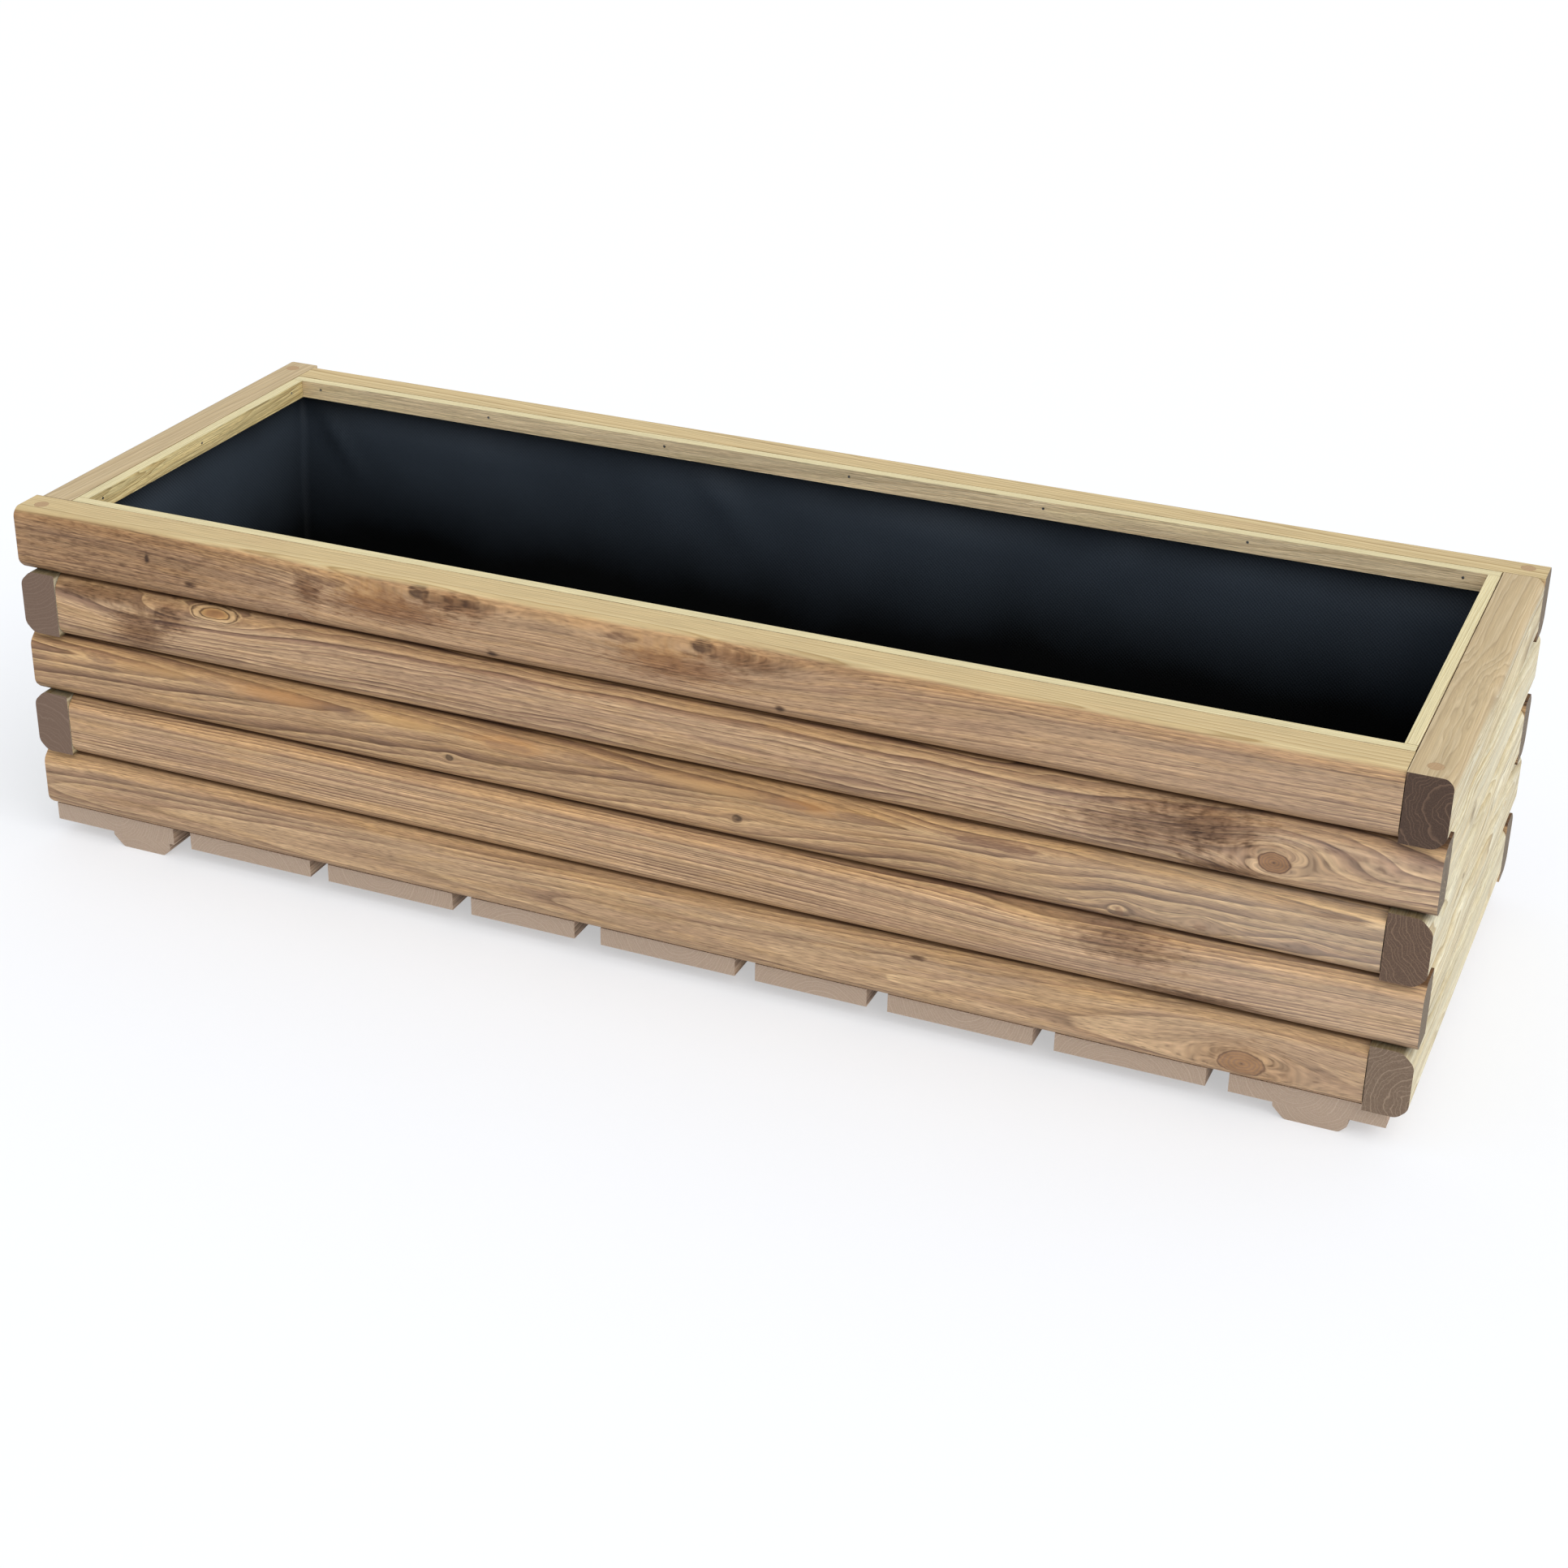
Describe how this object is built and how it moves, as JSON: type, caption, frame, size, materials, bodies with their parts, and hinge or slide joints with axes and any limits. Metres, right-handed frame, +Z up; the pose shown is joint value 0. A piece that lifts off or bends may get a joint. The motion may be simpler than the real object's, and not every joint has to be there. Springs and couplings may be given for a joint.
{
  "type": "window box planter",
  "caption": "Long open timber trough of lapped boards pinned by corner dowels, with a fabric liner held under rim battens, on a slatted base with end runners.",
  "frame": {"origin": "on the ground, at the middle of the planter's plan", "axes": "+X along the long front towards its right end as seen from the front, +Z up, the front faces -Y"},
  "size_m": [1.5, 0.535, 0.386],
  "materials": {
    "long_board_wood": "brown stained softwood, brushed",
    "end_board_wood": "pale stained softwood, brushed",
    "batten_wood": "sawn, unstained softwood",
    "dowel_wood": "end grain, stained",
    "slat_wood": "sawn, stained softwood",
    "liner_fabric": "black woven polypropylene",
    "fastener_steel": "zinc plated"
  },
  "bodies": {
    "root": {"front_board_1": "long_board_wood", "front_board_2": "long_board_wood", "front_board_3": "long_board_wood", "front_board_4": "long_board_wood", "front_board_5": "long_board_wood", "liner_batten_front": "batten_wood", "right_board_1": "end_board_wood", "right_board_2": "end_board_wood", "right_board_3": "end_board_wood", "right_board_4": "end_board_wood", "right_board_5": "end_board_wood", "liner_batten_right": "batten_wood", "back_board_1": "long_board_wood", "back_board_2": "long_board_wood", "back_board_3": "long_board_wood", "back_board_4": "long_board_wood", "back_board_5": "long_board_wood", "liner_batten_back": "batten_wood", "left_board_1": "end_board_wood", "left_board_2": "end_board_wood", "left_board_3": "end_board_wood", "left_board_4": "end_board_wood", "left_board_5": "end_board_wood", "liner_batten_left": "batten_wood", "corner_dowel_front_left": "dowel_wood", "corner_dowel_front_right": "dowel_wood", "corner_dowel_back_right": "dowel_wood", "corner_dowel_back_left": "dowel_wood", "liner": "liner_fabric", "base_slat_1": "slat_wood", "base_slat_2": "slat_wood", "base_slat_3": "slat_wood", "base_slat_4": "slat_wood", "base_slat_5": "slat_wood", "base_slat_6": "slat_wood", "base_slat_7": "slat_wood", "base_slat_8": "slat_wood", "base_slat_9": "slat_wood", "foot_runner_left": "slat_wood", "foot_runner_right": "slat_wood", "batten_brads": "fastener_steel", "slat_nails": "fastener_steel", "runner_screws": "fastener_steel"}
  },
  "joints": []
}
